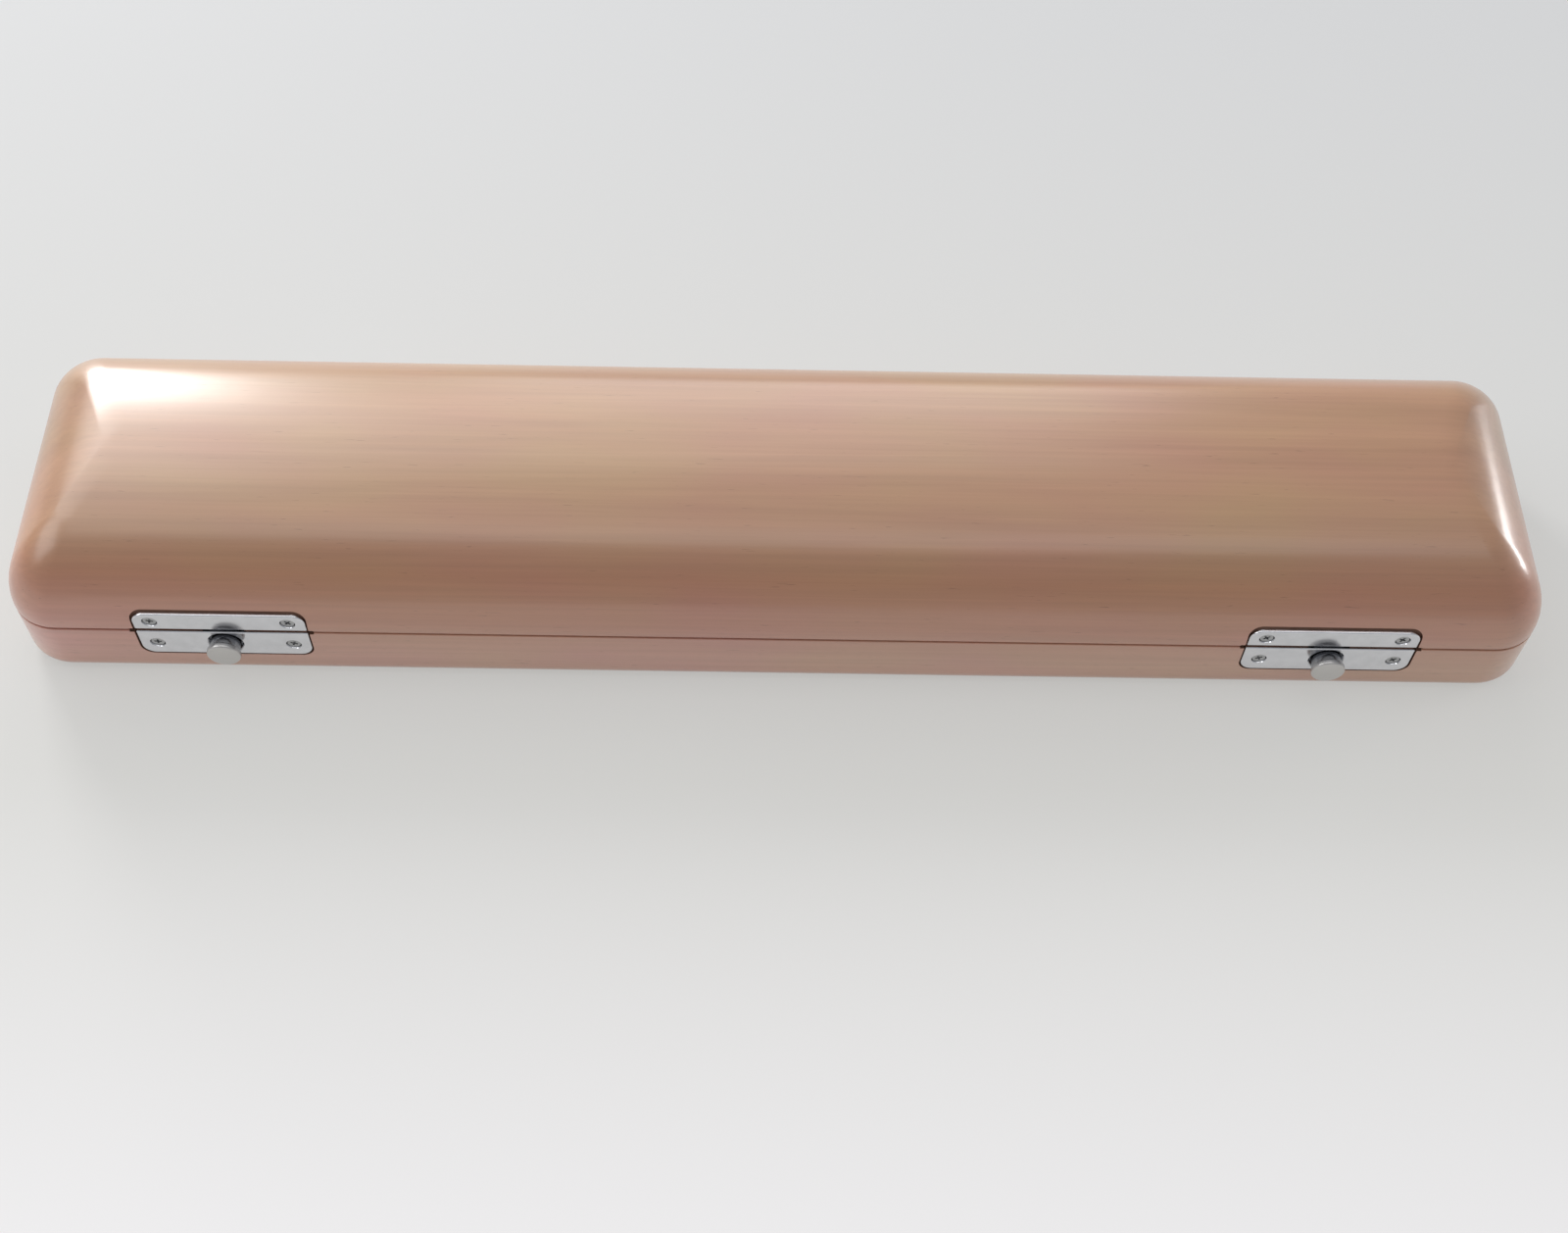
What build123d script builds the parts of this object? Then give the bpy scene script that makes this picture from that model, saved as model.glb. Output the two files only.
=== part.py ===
from build123d import *
import os
from math import acos, cos, radians, sin, sqrt

# Wooden flute case: a shallow base and a pillow-shaped lid milled from solid wood, two push-button
# latches on the front, two stop hinges at the back, a cradle for the flute's joints and a lid lining.
# Millimetres. X runs along the case, the latches face -Y, the hinges are at +Y, Z is up.
# The origin is the middle of the flat underside.

os.makedirs("parts", exist_ok=True)

# ---- outer form -------------------------------------------------------------------------------
case_length = 420.0
case_width = 87.6
base_height = 20.1
seam_gap = 0.3
corner_radius = 14.0
corner_fading = 2.0
least_corner = 1.0
bottom_radius = 4.5
seam_break = 0.4
lid_upright = 0.7
shoulder_radius = 24.0
shoulder_sweep = 80.0
crown_strip = 6.0
end_run = 28.0
outer_steps = 14
inner_steps = 7
crown_steps = 3
wall = 7.5
floor_thickness = 5.5

# ---- cradle and lining ------------------------------------------------------------------------
cradle_fit = 0.3
cradle_drop = 0.5
cradle_floor = 2.0
lining_fit = 0.3
lining_thickness = 3.0
lining_rise = 0.6
body_joint_length = 362.0
head_joint_length = 226.0
foot_joint_length = 144.0
joint_web = 12.0
body_trough_radius = 10.5
head_trough_radius = 10.0
body_row_y = 18.5
head_row_y = -18.3
lip_bay_length = 44.0
lip_bay_width = 25.0
lip_bay_depth = 8.0
lip_bay_corner = 5.0
lip_bay_from_end = 62.0
rod_slot_length = 346.0
rod_slot_width = 6.0
rod_slot_depth = 7.5
rod_slot_y = 1.0

# ---- latches ----------------------------------------------------------------------------------
latch_from_end = 58.9
plate_length = 46.6
plate_thickness = 1.3
plate_proud = 0.0
plate_corner = 3.6
plate_edge = 0.25
plate_skin = 0.4
plate_pocket_gap = 0.8
plate_head_gap = 1.1
plate_foot_gap = 0.15
plate_seam_gap = 0.15
base_plate_height = 10.8
lid_plate_height = 7.2
latch_screw_spacing = 37.1
lid_screw_rise = 3.8
catch_slot_width = 9.2
catch_slot_height = 2.5
catch_slot_taper = 0.5
ledge_height = 1.0
button_drop = 5.7
button_bore = 9.2
neck_diameter = 8.4
button_head_diameter = 9.2
button_proud = 4.8
button_dome = 0.6
button_edge = 0.7
neck_length = 2.6
rivet_diameter = 3.0
button_travel = 2.0
bolt_thickness = 1.0
bolt_gap = 0.2
bolt_width = 21.0
bolt_height = 7.6
bolt_corner = 1.2
tongue_width = 7.6
tongue_over_hook = 0.6
hook_gap = 0.2
hook_height = 1.8
hook_nose = 0.4
hook_root = 0.1
hook_set_back = 0.55
post_spacing = 16.0
post_diameter = 1.6
post_head_diameter = 2.8
post_head_thickness = 0.5
post_clearance = 0.2
spring_thickness = 0.3
spring_width = 4.0
spring_foot = 2.8
spring_gap = 0.1
works_clearance = 0.4

# ---- hinges -----------------------------------------------------------------------------------
hinge_from_end = 70.0
hinge_length = 36.0
hinge_axis_out = 0.6
knuckle_radius = 2.2
knuckle_count = 5
knuckle_gap = 0.15
knuckle_clearance = 0.35
leaf_thickness = 1.2
leaf_set = 0.5
leaf_reach = 9.5
leaf_corner = 1.5
leaf_fit = 0.1
hinge_screw_spacing = 22.0
hinge_screw_reach = 6.1
pin_diameter = 2.0
pin_clearance = 0.05
pin_head_diameter = 3.2
pin_head_thickness = 0.6
open_angle = 110.0
stop_reach = 4.4
stop_thickness = 1.2
stop_clearance = 0.06

# ---- wood screws ------------------------------------------------------------------------------
screw_head_diameter = 3.8
screw_shank_diameter = 1.9
screw_length = 6.0
screw_sink = 0.1
screw_clearance = 0.05
screw_hole_clearance = 0.1

# ---- places that follow from the sizes --------------------------------------------------------
front = -case_width / 2
back = case_width / 2
lid_bottom = base_height + seam_gap
cradle_top = base_height - cradle_drop
plate_face = front - plate_proud
plate_back = plate_face + plate_thickness
base_plate_top = base_height - plate_seam_gap
lid_plate_bottom = lid_bottom + plate_seam_gap
button_z = base_plate_top - button_drop
ledge_top = lid_plate_bottom + ledge_height
bolt_front = plate_back + bolt_gap
bolt_back = bolt_front + bolt_thickness
spring_seat = bolt_back + spring_gap + button_travel + 2 * spring_thickness
works_back = spring_seat + post_head_thickness + spring_gap
hinge_y = back + hinge_axis_out
hinge_z = base_height + seam_gap / 2
leaf_face = back - leaf_set
leaf_back = leaf_face - leaf_thickness
leaf_start = knuckle_radius + knuckle_clearance
knuckle_length = hinge_length / knuckle_count


# ---- shapes used more than once ---------------------------------------------------------------
def plan(inset, radius, z):
    """The case's rounded rectangle, moved inwards by inset, at height z."""
    outline = RectangleRounded(case_length - 2 * inset, case_width - 2 * inset, radius)
    return Plane.XY.offset(z) * outline


def slab(inset, low, high):
    """An upright block of the case's plan, moved inwards by inset."""
    return extrude(plan(inset, corner_radius - inset, low), high - low)


def pillow(depth, low, shoulder_steps, crown_steps):
    """The lid's solid form, moved inwards by depth and cut off below at height low.

    Across the case it is a three-centred arch: upright, a shoulder arc, then a shallow crown arc.
    Along the case each end is a quarter ellipse as high as that arch.
    The plan's corners tighten with the inset, so they close to a mitre line below the crown.
    """
    radius = shoulder_radius - depth
    half_width = case_width / 2 - depth
    sweep = radians(shoulder_sweep)
    crown_inset = radius * (1 - cos(sweep))
    crown_radius = (half_width - crown_inset) / cos(sweep)
    spring_line = lid_bottom + lid_upright
    arch = []
    for step in range(shoulder_steps + 1):
        turn = sweep * step / shoulder_steps
        arch.append((radius * (1 - cos(turn)), radius * sin(turn)))
    crown_run = half_width - crown_inset - crown_strip / 2
    for step in range(1, crown_steps + 1):
        inset = crown_inset + crown_run * step / crown_steps
        turn = acos((half_width - inset) / crown_radius)
        arch.append((inset, radius * sin(sweep) + crown_radius * (sin(turn) - sin(sweep))))
    top = arch[-1][1]
    sections = []
    for inset, rise in arch:
        end_inset = (end_run - depth) * (1 - sqrt(1 - (rise / top) ** 2))
        fading = (1 - inset / half_width) ** corner_fading
        corner = max((corner_radius - depth) * fading, least_corner)
        length = case_length - 2 * (depth + end_inset)
        outline = RectangleRounded(length, 2 * (half_width - inset), corner)
        sections.append(Plane.XY.offset(spring_line + rise) * outline)
    return slab(depth, low, spring_line) + loft(sections, ruled=True)


def along_y(x, y, z, inward):
    """A place on the case's front (inward +1) or back (inward -1), its z axis pointing into the wood."""
    return Plane(origin=(x, y, z), x_dir=(1, 0, 0), z_dir=(0, inward, 0))


def screw(clearance=0.0):
    """A countersunk wood screw pointing along +Z, or the seat it needs in a plate."""
    head = screw_head_diameter / 2 + clearance
    shank = screw_shank_diameter / 2 + clearance
    cone = head - shank
    length = screw_length + clearance
    half = [(0, 0), (head, 0), (shank, cone), (shank, length), (0, length), (0, 0)]
    body = revolve(Plane.XZ * make_face(Polyline(half)), Axis.Z)
    if clearance > 0:
        body = body + Cylinder(head, 2 * screw_sink)
    return body


bottom_up = (Align.CENTER, Align.CENTER, Align.MIN)


def pilot_hole():
    """The plain hole a screw's shank needs in the wood behind its plate."""
    radius = screw_shank_diameter / 2 + screw_hole_clearance
    return Cylinder(radius, screw_length + screw_hole_clearance, align=bottom_up)


def screw_places(x, spacing, y, z, inward):
    """Two screws side by side, sunk just below the plate's face at y."""
    sunk = y + inward * screw_sink
    return [along_y(x + side * spacing / 2, sunk, z, inward) for side in (-1, 1)]


def place_all(places, piece):
    return Compound(children=[place * piece for place in places])


def cut_all(body, places, tool):
    for place in places:
        body = body - place * tool
    return body


def block(x, y, z):
    """A box from its three pairs of lower and upper limits."""
    size = [high - low for low, high in (x, y, z)]
    middle = [(high + low) / 2 for low, high in (x, y, z)]
    return Pos(*middle) * Box(*size)


def plate(x, z_low, height, rounded_at_top):
    """A latch plate with its two outer corners rounded and its front edge eased."""
    body = block(
        (x - plate_length / 2, x + plate_length / 2),
        (plate_face, plate_back),
        (z_low, z_low + height),
    )
    upright = body.edges().filter_by(Axis.Y).sort_by(Axis.Z)
    outer = upright[-2:] if rounded_at_top else upright[:2]
    body = fillet(outer, plate_corner)
    return chamfer(body.faces().sort_by(Axis.Y)[0].edges(), plate_edge)


def latch_screws(x, z):
    return screw_places(x, latch_screw_spacing, plate_face, z, 1)


def hinge_screws(x, z):
    return screw_places(x, hinge_screw_spacing, leaf_face, z, -1)


# ---- latch pieces -----------------------------------------------------------------------------
lid_screw_z = lid_plate_bottom + lid_screw_rise


def make_base_plate(x):
    body = plate(x, base_plate_top - base_plate_height, base_plate_height, False)
    body = body - along_y(x, plate_face, button_z, 1) * Cylinder(button_bore / 2, 3 * plate_thickness)
    body = cut_all(body, latch_screws(x, button_z), screw(screw_clearance))
    for side in (-1, 1):
        rivet = along_y(x + side * post_spacing / 2, plate_face + plate_skin, button_z, 1)
        body = body - rivet * Cylinder(post_diameter / 2, plate_thickness, align=bottom_up)
    return body


def make_lid_plate(x):
    """Plain in front. A slot in its back, above a ledge along its lower edge, takes the bolt's hook."""
    body = plate(x, lid_plate_bottom, lid_plate_height, True)
    half = catch_slot_width / 2
    outline = Polyline(
        (x - half, ledge_top),
        (x + half, ledge_top),
        (x + half - catch_slot_taper, ledge_top + catch_slot_height),
        (x - half + catch_slot_taper, ledge_top + catch_slot_height),
        (x - half, ledge_top),
    )
    slot = extrude(Plane.XZ.offset(-plate_back) * make_face(outline), plate_thickness - plate_skin)
    body = body - slot
    return cut_all(body, latch_screws(x, lid_screw_z), screw(screw_clearance))


def make_button(x):
    """Turned knob: riveted stub, neck through the plate, flared head with a shallow dome."""
    neck = neck_diameter / 2
    head = button_head_diameter / 2
    seat = bolt_front - plate_face
    tail = bolt_back - plate_face
    stub = rivet_diameter / 2
    flare = -neck_length - (head - neck)
    rim = button_dome - button_proud
    stem = [(0, -button_proud), (0, tail), (stub, tail), (stub, seat), (neck, seat)]
    outline = Polyline(stem + [(neck, -neck_length), (head, flare), (head, rim)])
    dome_radius = (head ** 2 + button_dome ** 2) / (2 * button_dome)
    half_way = dome_radius - button_proud - sqrt(dome_radius ** 2 - (head / 2) ** 2)
    outline += ThreePointArc((head, rim), (head / 2, half_way), (0, -button_proud))
    profile = make_face(outline)
    rim_corner = profile.vertices().sort_by(Axis.X)[-2:].sort_by(Axis.Y)[0]
    profile = fillet(rim_corner, button_edge)
    return along_y(x, plate_face, button_z, 1) * revolve(Plane.XZ * profile, Axis.Z)


def make_bolt(x):
    """Stamped strip behind the base plate: two guide wings, a tongue and a hook with a sloped nose."""
    wings = block(
        (x - bolt_width / 2, x + bolt_width / 2),
        (bolt_front, bolt_back),
        (button_z - bolt_height / 2, button_z + bolt_height / 2),
    )
    wings = fillet(wings.edges().filter_by(Axis.Y), bolt_corner)
    hook_low = ledge_top + hook_gap
    hook_high = hook_low + hook_height
    tongue_top = hook_high + tongue_over_hook
    tongue = block(
        (x - tongue_width / 2, x + tongue_width / 2),
        (bolt_front, bolt_back),
        (button_z, tongue_top),
    )
    nose_tip = plate_face + hook_set_back
    nose = Polyline(
        (bolt_front + hook_root, hook_low),
        (nose_tip, hook_low),
        (nose_tip, hook_low + hook_nose),
        (bolt_front + hook_root, hook_high),
        (bolt_front + hook_root, hook_low),
    )
    hook_width = tongue_width - 2 * catch_slot_taper
    hook = extrude(Plane.YZ.offset(x - hook_width / 2) * make_face(nose), hook_width)
    body = wings + tongue + hook
    centre = along_y(x, bolt_front, button_z, 1)
    body = body - centre * Cylinder(rivet_diameter / 2, 3 * bolt_thickness)
    for side in (-1, 1):
        guide = along_y(x + side * post_spacing / 2, bolt_front, button_z, 1)
        body = body - guide * Cylinder(post_diameter / 2 + post_clearance, 3 * bolt_thickness)
    return body


def make_guide_posts(x):
    """Two headed posts riveted into the base plate, which guide the bolt and hold the spring's feet."""
    posts = []
    for side in (-1, 1):
        foot = along_y(x + side * post_spacing / 2, plate_face + plate_skin, button_z, 1)
        length = spring_seat - plate_face - plate_skin
        shank = Cylinder(post_diameter / 2, length, align=bottom_up)
        head = Pos(0, 0, length) * Cylinder(post_head_diameter / 2, post_head_thickness, align=bottom_up)
        posts.append(foot * (shank + head))
    return Compound(children=posts)


def make_leaf_spring(x):
    """Bowed strip: its crest bears on the bolt, and its two drilled feet on the posts' heads."""
    foot_out = post_spacing / 2 + spring_foot / 2
    foot_in = post_spacing / 2 - spring_foot / 2
    crest = bolt_back + spring_gap
    seat = spring_seat - spring_thickness
    outline = Polyline(
        (-foot_in, spring_seat),
        (-foot_out, spring_seat),
        (-foot_out, seat),
        (-foot_in, seat),
    )
    outline += ThreePointArc((-foot_in, seat), (0, crest), (foot_in, seat))
    outline += Polyline((foot_in, seat), (foot_out, seat), (foot_out, spring_seat), (foot_in, spring_seat))
    outline += ThreePointArc(
        (foot_in, spring_seat), (0, crest + spring_thickness), (-foot_in, spring_seat)
    )
    strip = extrude(Plane.XY.offset(button_z - spring_width / 2) * make_face(outline), spring_width)
    strip = Pos(x, 0, 0) * strip
    for side in (-1, 1):
        drill = along_y(x + side * post_spacing / 2, seat, button_z, 1)
        strip = strip - drill * Cylinder(post_diameter / 2 + post_clearance, 4 * spring_thickness)
    return strip


def latch_pocket(x, z_low, z_high):
    """Shallow pocket that a latch plate lies in."""
    half = plate_length / 2 + plate_pocket_gap
    return block((x - half, x + half), (front - wall / 2, plate_back), (z_low, z_high))


def cut_base_for_latch(body, x):
    plate_low = base_plate_top - base_plate_height
    seat = latch_pocket(x, plate_low - plate_foot_gap, base_height + seam_gap)
    rounded = seat.edges().filter_by(Axis.Y).sort_by(Axis.Z)[:2]
    body = body - fillet(rounded, plate_corner)
    works = block(
        (x - bolt_width / 2 - works_clearance, x + bolt_width / 2 + works_clearance),
        (plate_back, works_back),
        (button_z - bolt_height / 2 - works_clearance, base_height + seam_gap),
    )
    body = body - works
    return cut_all(body, latch_screws(x, button_z), pilot_hole())


def cut_lid_for_latch(body, x):
    plate_high = lid_plate_bottom + lid_plate_height
    seat = latch_pocket(x, lid_bottom - seam_gap, plate_high + plate_head_gap)
    rounded = seat.edges().filter_by(Axis.Y).sort_by(Axis.Z)[-2:]
    body = body - fillet(rounded, plate_corner)
    tongue_top = ledge_top + hook_gap + hook_height + tongue_over_hook
    half = catch_slot_width / 2 + catch_slot_taper
    works = block(
        (x - half, x + half),
        (plate_back, bolt_back + button_travel + works_clearance),
        (lid_bottom - seam_gap, tongue_top + works_clearance),
    )
    body = body - works
    return cut_all(body, latch_screws(x, lid_screw_z), pilot_hole())


# ---- hinge pieces -----------------------------------------------------------------------------
def knuckle_spans(x, first):
    """Start and end along X of every second knuckle, from number first."""
    spans = []
    for number in range(first, knuckle_count, 2):
        start = x - hinge_length / 2 + number * knuckle_length
        spans.append((start + knuckle_gap / 2, start + knuckle_length - knuckle_gap / 2))
    return spans


def barrel(span, radius):
    """A round bar on the hinge axis between two places along X."""
    middle = Plane(origin=(span[0], hinge_y, hinge_z), z_dir=(1, 0, 0))
    return middle * Cylinder(radius, span[1] - span[0], align=bottom_up)


def make_leaf(x, up, first):
    """A leaf let into the back, with its own knuckles. up is +1 on the lid and -1 on the base."""
    limits = sorted((hinge_z + up * leaf_start, hinge_z + up * leaf_reach))
    body = block((x - hinge_length / 2, x + hinge_length / 2), (leaf_back, leaf_face), limits)
    upright = body.edges().filter_by(Axis.Y).sort_by(Axis.Z)
    body = fillet(upright[-2:] if up > 0 else upright[:2], leaf_corner)
    for span in knuckle_spans(x, first):
        web = sorted((hinge_z, hinge_z + up * (leaf_start + leaf_corner)))
        body = body + block(span, (leaf_back, leaf_face), web) + barrel(span, knuckle_radius)
    bore = barrel((x - hinge_length, x + hinge_length), pin_diameter / 2 + pin_clearance)
    body = body - bore
    return cut_all(body, hinge_screws(x, hinge_z + up * hinge_screw_reach), screw(screw_clearance))


def make_lid_leaf(x):
    """The lid's leaf. A stop on each of its knuckles meets the base leaf when the lid is fully open."""
    body = make_leaf(x, 1, 1)
    open_stop_face = leaf_face + stop_clearance
    bore = barrel((x - hinge_length, x + hinge_length), pin_diameter / 2 + pin_clearance)
    for span in knuckle_spans(x, 1):
        stop = block(
            span,
            (open_stop_face, open_stop_face + stop_thickness),
            (hinge_z - stop_reach, hinge_z - pin_diameter / 2),
        )
        stop = stop.rotate(Axis((0, hinge_y, hinge_z), (1, 0, 0)), open_angle)
        body = body + stop
    return body - bore


def make_pin(x):
    """Hinge pin with a shallow head at each end."""
    half = hinge_length / 2
    body = barrel((x - half, x + half), pin_diameter / 2)
    body = body + barrel((x - half - pin_head_thickness, x - half), pin_head_diameter / 2)
    return body + barrel((x + half, x + half + pin_head_thickness), pin_head_diameter / 2)


def cut_for_hinge(body, x, up):
    """Pocket for the leaf, half-round groove for the barrel, and the screw holes."""
    half = hinge_length / 2 + leaf_fit
    limits = sorted((hinge_z - up * seam_gap, hinge_z + up * (leaf_reach + leaf_fit)))
    seat = block((x - half, x + half), (leaf_back, back + wall), limits)
    upright = seat.edges().filter_by(Axis.Y).sort_by(Axis.Z)
    body = body - fillet(upright[-2:] if up > 0 else upright[:2], leaf_corner)
    reach = half + pin_head_thickness + knuckle_clearance
    body = body - barrel((x - reach, x + reach), knuckle_radius + knuckle_clearance)
    return cut_all(body, hinge_screws(x, hinge_z + up * hinge_screw_reach), pilot_hole())


# ---- wooden shells ----------------------------------------------------------------------------
latch_x = case_length / 2 - latch_from_end
latch_places = {"left": -latch_x, "right": latch_x}
hinge_x = case_length / 2 - hinge_from_end
hinge_places = {"left": -hinge_x, "right": hinge_x}


def make_base_shell():
    body = slab(0, 0, base_height)
    body = fillet(body.faces().sort_by(Axis.Z)[0].edges(), bottom_radius)
    body = chamfer(body.faces().sort_by(Axis.Z)[-1].edges(), seam_break)
    body = body - slab(wall, floor_thickness, base_height + wall)
    for x in latch_places.values():
        body = cut_base_for_latch(body, x)
    for x in hinge_places.values():
        body = cut_for_hinge(body, x, -1)
    return body


def make_lid_shell():
    body = pillow(0, lid_bottom, outer_steps, crown_steps)
    body = chamfer(body.faces().sort_by(Axis.Z)[0].edges(), seam_break)
    body = body - pillow(wall, lid_bottom - wall, inner_steps, 1)
    for x in latch_places.values():
        body = cut_lid_for_latch(body, x)
    for x in hinge_places.values():
        body = cut_for_hinge(body, x, 1)
    return body


# ---- cradle and lining ------------------------------------------------------------------------
trough_axis = floor_thickness + cradle_floor + body_trough_radius
pair_length = head_joint_length + joint_web + foot_joint_length


def trough(x_low, x_high, y, radius):
    """A round-bottomed channel, open at the top."""
    lie = Plane(origin=(x_low, y, trough_axis), z_dir=(1, 0, 0))
    channel = lie * Cylinder(radius, x_high - x_low, align=bottom_up)
    return channel + block((x_low, x_high), (y - radius, y + radius), (trough_axis, base_height))


def make_cradle():
    inset = wall + cradle_fit
    body = slab(inset, floor_thickness, cradle_top)
    half = body_joint_length / 2
    body = body - trough(-half, half, body_row_y, body_trough_radius)
    head_low = -pair_length / 2
    head_high = head_low + head_joint_length
    body = body - trough(head_low, head_high, head_row_y, head_trough_radius)
    foot_low = head_high + joint_web
    body = body - trough(foot_low, foot_low + foot_joint_length, head_row_y, head_trough_radius)
    bay_low = head_low + lip_bay_from_end
    bay = block(
        (bay_low, bay_low + lip_bay_length),
        (head_row_y - lip_bay_width / 2, head_row_y + lip_bay_width / 2),
        (cradle_top - lip_bay_depth, base_height),
    )
    body = body - fillet(bay.edges().filter_by(Axis.Z), lip_bay_corner)
    slot = block(
        (-rod_slot_length / 2, rod_slot_length / 2),
        (rod_slot_y - rod_slot_width / 2, rod_slot_y + rod_slot_width / 2),
        (cradle_top - rod_slot_depth, base_height),
    )
    return body - slot


def make_lid_lining():
    outer = pillow(wall + lining_fit, lid_bottom + lining_rise, inner_steps, 1)
    return outer - pillow(wall + lining_fit + lining_thickness, lid_bottom - wall, inner_steps, 1)


# ---- every node -------------------------------------------------------------------------------
nodes = {
    "base_shell": make_base_shell(),
    "lid_shell": make_lid_shell(),
    "base_cradle": make_cradle(),
    "lid_lining": make_lid_lining(),
}
for side, x in latch_places.items():
    nodes[side + "_latch_base_plate"] = make_base_plate(x)
    nodes[side + "_latch_lid_plate"] = make_lid_plate(x)
    nodes[side + "_latch_base_screws"] = place_all(latch_screws(x, button_z), screw())
    nodes[side + "_latch_lid_screws"] = place_all(latch_screws(x, lid_screw_z), screw())
    nodes[side + "_latch_button"] = make_button(x)
    nodes[side + "_latch_bolt"] = make_bolt(x)
    nodes[side + "_latch_spring"] = make_leaf_spring(x)
    nodes[side + "_latch_guide_posts"] = make_guide_posts(x)
for side, x in hinge_places.items():
    base_screw_z = hinge_z - hinge_screw_reach
    lid_leaf_screw_z = hinge_z + hinge_screw_reach
    nodes[side + "_hinge_base_leaf"] = make_leaf(x, -1, 0)
    nodes[side + "_hinge_lid_leaf"] = make_lid_leaf(x)
    nodes[side + "_hinge_pin"] = make_pin(x)
    nodes[side + "_hinge_base_screws"] = place_all(hinge_screws(x, base_screw_z), screw())
    nodes[side + "_hinge_lid_screws"] = place_all(hinge_screws(x, lid_leaf_screw_z), screw())

for name, solid in nodes.items():
    export_step(solid, "parts/" + name + ".step")
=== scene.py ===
from math import acos, cos, pi, radians, sin, sqrt

import bmesh
import bpy
from mathutils import Matrix, Vector


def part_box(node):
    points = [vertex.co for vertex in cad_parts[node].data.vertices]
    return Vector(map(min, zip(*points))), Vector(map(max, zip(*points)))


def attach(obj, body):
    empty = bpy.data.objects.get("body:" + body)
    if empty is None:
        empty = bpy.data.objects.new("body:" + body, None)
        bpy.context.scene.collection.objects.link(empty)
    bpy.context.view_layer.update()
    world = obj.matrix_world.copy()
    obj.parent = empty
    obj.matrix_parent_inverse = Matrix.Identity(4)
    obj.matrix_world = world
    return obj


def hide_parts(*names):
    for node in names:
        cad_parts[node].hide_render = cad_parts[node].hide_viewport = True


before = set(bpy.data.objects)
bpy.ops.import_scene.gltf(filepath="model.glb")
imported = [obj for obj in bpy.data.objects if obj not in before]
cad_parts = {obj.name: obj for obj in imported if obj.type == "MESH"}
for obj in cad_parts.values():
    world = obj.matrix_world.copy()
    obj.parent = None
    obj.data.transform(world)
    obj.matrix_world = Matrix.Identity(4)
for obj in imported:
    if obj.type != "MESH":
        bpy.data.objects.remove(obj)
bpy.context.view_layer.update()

# Metres, with X along the case, the latches facing -Y, the hinges at +Y and Z up.
MM = 0.001

# ---- the case, from the frame -------------------------------------------------------------------
HALF_LENGTH, HALF_WIDTH, BASE_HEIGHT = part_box("base_shell")[1]
LID_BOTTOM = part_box("lid_shell")[0].z
SEAM = (BASE_HEIGHT + LID_BOTTOM) / 2

CORNER_RADIUS = 14.0 * MM
# The upright corners shrink towards the crown by this power, down to a soft ridge, which takes no
# more than a share of the room beside it.
CORNER_FADING = 2.0
SOFT_CORNER = 5.0 * MM
SOFT_CORNER_SHARE = 0.8
BOTTOM_RADIUS = 4.5 * MM
LID_UPRIGHT = 0.7 * MM
SHOULDER_RADIUS = 24.0 * MM
SHOULDER_SWEEP = radians(80.0)
CROWN_STRIP = 3.0 * MM
END_RUN = 28.0 * MM
WALL = 7.5 * MM
FLOOR = 5.5 * MM

# The shadow line round the seam, half of it in each shell, with broken edges.
RIM_BREAK = 0.3 * MM
SEAM_GROOVE_DEPTH = 0.7 * MM
SEAM_GROOVE_HEIGHT = 0.25 * MM

# Latches: plates, their pockets, and the dimples for screws and button.
SIDES = ("left", "right")
PLATE_CORNER = 3.6 * MM
PLATE_SMALL_CORNER = 0.4 * MM
PLATE_ROLL = 0.4 * MM
SEAM_TRIM = 0.35 * MM
POCKET_GAP = 0.4 * MM
POCKET_HEAD_GAP = 0.9 * MM
POCKET_FOOT_GAP = 0.15 * MM
NICK_LENGTH = 1.6 * MM
NICK_HEIGHT = 1.7 * MM
DIMPLE_MOUTH = 4.2 * MM
DIMPLE_SEAT = 3.7 * MM
DIMPLE_DEPTH = 0.6 * MM
BUTTON_BORE = 9.2 * MM
BORE_BREAK = 0.4 * MM
WORKS_WIDTH = 21.8 * MM
WORKS_DEPTH = 5.5 * MM
WORKS_FOOT = 2.0 * MM
TONGUE_SPACE = 11.4 * MM
TONGUE_HEADROOM = 1.0 * MM

# Buttons.
NECK_DIAMETER = 8.2 * MM
RIVET_DIAMETER = 3.0 * MM
RIVET_LENGTH = 1.0 * MM
KNOB_DOME = 0.6 * MM
KNOB_ROLL = 0.6 * MM
KNOB_HEAD_LENGTH = 2.0 * MM
# The button's nickel is painted dark, as shade and a dark reflection, up to the first length out
# from the case, and light from the second on.
KNOB_PAINTED_SHADE_END = 0.8 * MM
KNOB_UNSHADED_START = 4.0 * MM

# Hinges.
LEAF_CORNER = 1.5 * MM
LEAF_FACE = HALF_WIDTH - 0.5 * MM
LEAF_BACK = LEAF_FACE - 1.2 * MM
LEAF_GAP = 0.1 * MM
KNUCKLE_RADIUS = 2.2 * MM
BARREL_CLEARANCE = 0.35 * MM

# Screws: how deep their heads lie under the face they enter.
LATCH_SINK = 0.38 * MM
HINGE_SINK = 0.12 * MM

# A cutter sticks out this far past the face it cuts, except a seat's, which sticks out by a wall's
# thickness. The straight hole behind a dimple goes as deep as the second length.
CUTTER_REACH = 1.0 * MM
DRILL_REACH = 3.0 * MM

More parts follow.
